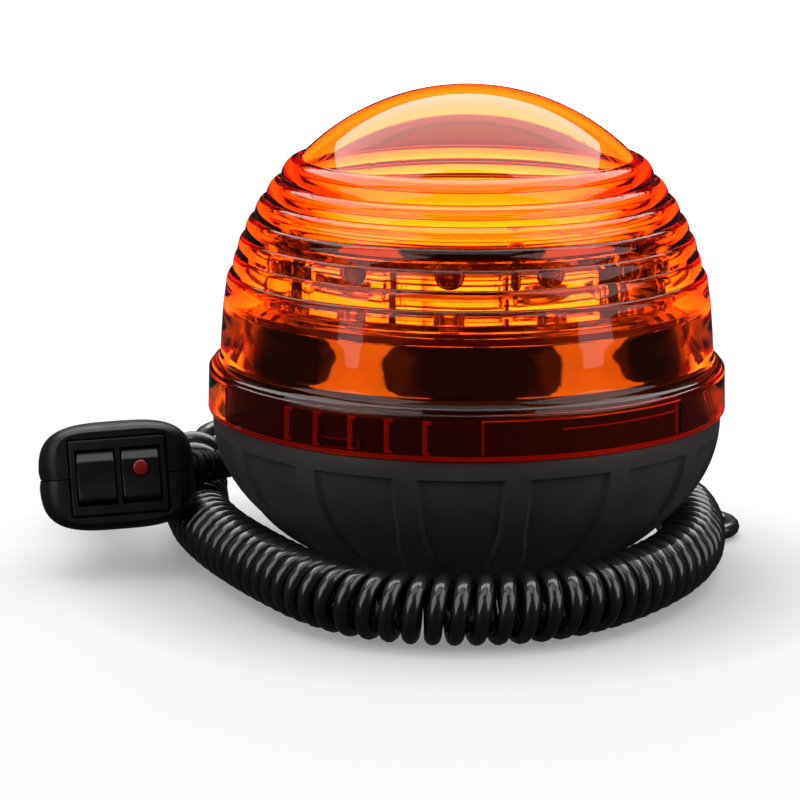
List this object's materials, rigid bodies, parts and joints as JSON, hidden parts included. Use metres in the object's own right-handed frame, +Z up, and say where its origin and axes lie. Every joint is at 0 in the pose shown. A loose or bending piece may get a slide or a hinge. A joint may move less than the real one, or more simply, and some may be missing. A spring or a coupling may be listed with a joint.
{
  "type": "magnetic led beacon",
  "caption": "Domed amber beacon on a magnetic rubber foot, with a curly lead to a lighter plug whose head carries rocker switches.",
  "frame": {"origin": "centre of the rubber foot's underside, on the surface that the beacon stands on", "axes": "+Z up along the beacon's axis, -Y towards the side that the switch panel faces, +X to the right of that side"},
  "size_m": [0.2098, 0.1768, 0.1425],
  "materials": {
    "lens_amber": "clear amber polycarbonate, glossy",
    "optic_clear": "clear acrylic, polished",
    "base_plastic": "fine spark-eroded texture",
    "plug_plastic": "fine moulded grain",
    "rocker_plastic": "satin",
    "cord_jacket": "smooth soft jacket",
    "rubber": "matt",
    "window_red": "tinted, glossy",
    "steel": "plated",
    "brass": "plated",
    "aluminium": "satin",
    "magnet": "sintered ferrite",
    "board": "solder resist",
    "led_yellow": "phosphor under a clear lens",
    "fuse_glass": "clear",
    "component": "moulded"
  },
  "bodies": {
    "base": {"base_bowl": "base_plastic", "rubber_foot": "rubber", "magnet_cup": "steel", "ring_magnet": "magnet", "lens_seal": "rubber", "deck_plate": "base_plastic", "driver_board": "board", "inductor": "component", "capacitor": "component", "terminal_block": "component", "led_drum": "aluminium", "led_board": "board", "optic_ring": "optic_clear", "optic_cap": "aluminium", "supply_wire": "cord_jacket", "led_1": "led_yellow", "led_2": "led_yellow", "led_3": "led_yellow", "led_4": "led_yellow", "led_5": "led_yellow", "led_6": "led_yellow", "led_7": "led_yellow", "led_8": "led_yellow", "led_9": "led_yellow", "led_10": "led_yellow", "led_11": "led_yellow", "led_12": "led_yellow", "foot_screw_1": "steel", "foot_screw_2": "steel", "foot_screw_3": "steel", "deck_screw_1": "steel", "deck_screw_2": "steel", "deck_screw_3": "steel", "optic_screw_1": "steel", "optic_screw_2": "steel", "optic_screw_3": "steel", "cable_gland": "rubber", "cord_lead": "cord_jacket", "cord_coil": "cord_jacket", "cord_tail": "cord_jacket", "plug_upper_shell": "plug_plastic", "plug_lower_shell": "plug_plastic", "switch_bezel": "plug_plastic", "rocker_pin": "steel", "switch_body_power": "component", "switch_body_mode": "component", "plug_barrel": "plug_plastic", "plug_nose_ring": "plug_plastic", "tip_spring": "steel", "fuse": "fuse_glass", "plug_screw_left": "steel", "plug_screw_right": "steel", "plug_strain_relief": "rubber"},
    "lens": {"lens_dome": "lens_amber"},
    "power_rocker": {"rocker_power": "rocker_plastic"},
    "mode_rocker": {"rocker_mode": "rocker_plastic", "mode_indicator": "window_red"},
    "tip": {"tip_contact": "brass"},
    "left_contact": {"side_contact_left": "steel"},
    "right_contact": {"side_contact_right": "steel"}
  },
  "joints": [
    {"name": "lens_twist", "type": "hinge", "parent": "base", "child": "lens", "pos_m": [0, 0, 0.055], "axis": [0, 0, 1], "range_deg": [0, 20]},
    {"name": "power_rocker_tilt", "type": "hinge", "parent": "base", "child": "power_rocker", "pos_m": [-0.10802, -0.00646, 0.02841], "axis": [-0.9824, -0.1821, -0.041], "range_deg": [0, 16]},
    {"name": "mode_rocker_tilt", "type": "hinge", "parent": "base", "child": "mode_rocker", "pos_m": [-0.09525, -0.0041, 0.02895], "axis": [-0.9824, -0.1821, -0.041], "range_deg": [0, 16], "stiffness_Nm_per_rad": 0.01, "springref_deg": -11.46},
    {"name": "tip_slide", "type": "slide", "parent": "base", "child": "tip", "axis": [0.1698, -0.9633, 0.2079], "range_m": [0, 0.0034], "stiffness_N_per_m": 400, "springref_m": -0.003},
    {"name": "left_contact_slide", "type": "slide", "parent": "base", "child": "left_contact", "axis": [0.9824, 0.1821, 0.041], "range_m": [0, 0.0014], "stiffness_N_per_m": 400, "springref_m": -0.001},
    {"name": "right_contact_slide", "type": "slide", "parent": "base", "child": "right_contact", "axis": [-0.9824, -0.1821, -0.041], "range_m": [0, 0.0014], "stiffness_N_per_m": 400, "springref_m": -0.001}
  ]
}
